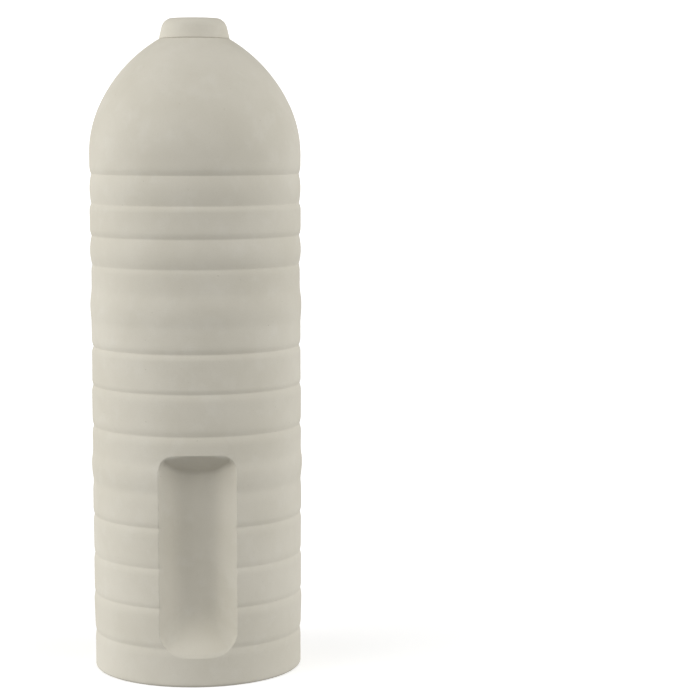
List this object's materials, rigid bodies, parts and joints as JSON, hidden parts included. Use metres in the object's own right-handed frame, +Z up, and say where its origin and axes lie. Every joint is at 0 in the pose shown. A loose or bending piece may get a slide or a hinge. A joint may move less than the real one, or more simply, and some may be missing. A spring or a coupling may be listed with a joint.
{
  "type": "plaster mould",
  "caption": "Tall ribbed plaster mould with a domed cap that lifts off, a tapered plug in the cap's top, a grip pocket in its side and a round mouth in its base.",
  "frame": {"origin": "centre of the flat base, on the surface that the mould stands on", "axes": "+Z up the axis of the mould to the plug, -Y out of the grip pocket, +X to the right of the pocket as seen from in front"},
  "size_m": [0.0706, 0.0705, 0.2167],
  "materials": {
    "plaster": "smooth, dry, matt off-white plaster",
    "natch_plastic": "moulded, satin"
  },
  "bodies": {
    "barrel": {"ribbed_barrel": "plaster", "natch_cup_1": "natch_plastic", "natch_cup_2": "natch_plastic", "natch_cup_3": "natch_plastic"},
    "dome_section": {"dome": "plaster", "natch_peg_1": "natch_plastic", "natch_peg_2": "natch_plastic", "natch_peg_3": "natch_plastic"},
    "plug": {"neck_plug": "plaster"}
  },
  "joints": [
    {"name": "dome_lift", "type": "slide", "parent": "barrel", "child": "dome_section", "axis": [0, 0, 1], "range_m": [0, 0.06]},
    {"name": "plug_lift", "type": "slide", "parent": "dome_section", "child": "plug", "axis": [0, 0, 1], "range_m": [0, 0.035]}
  ]
}
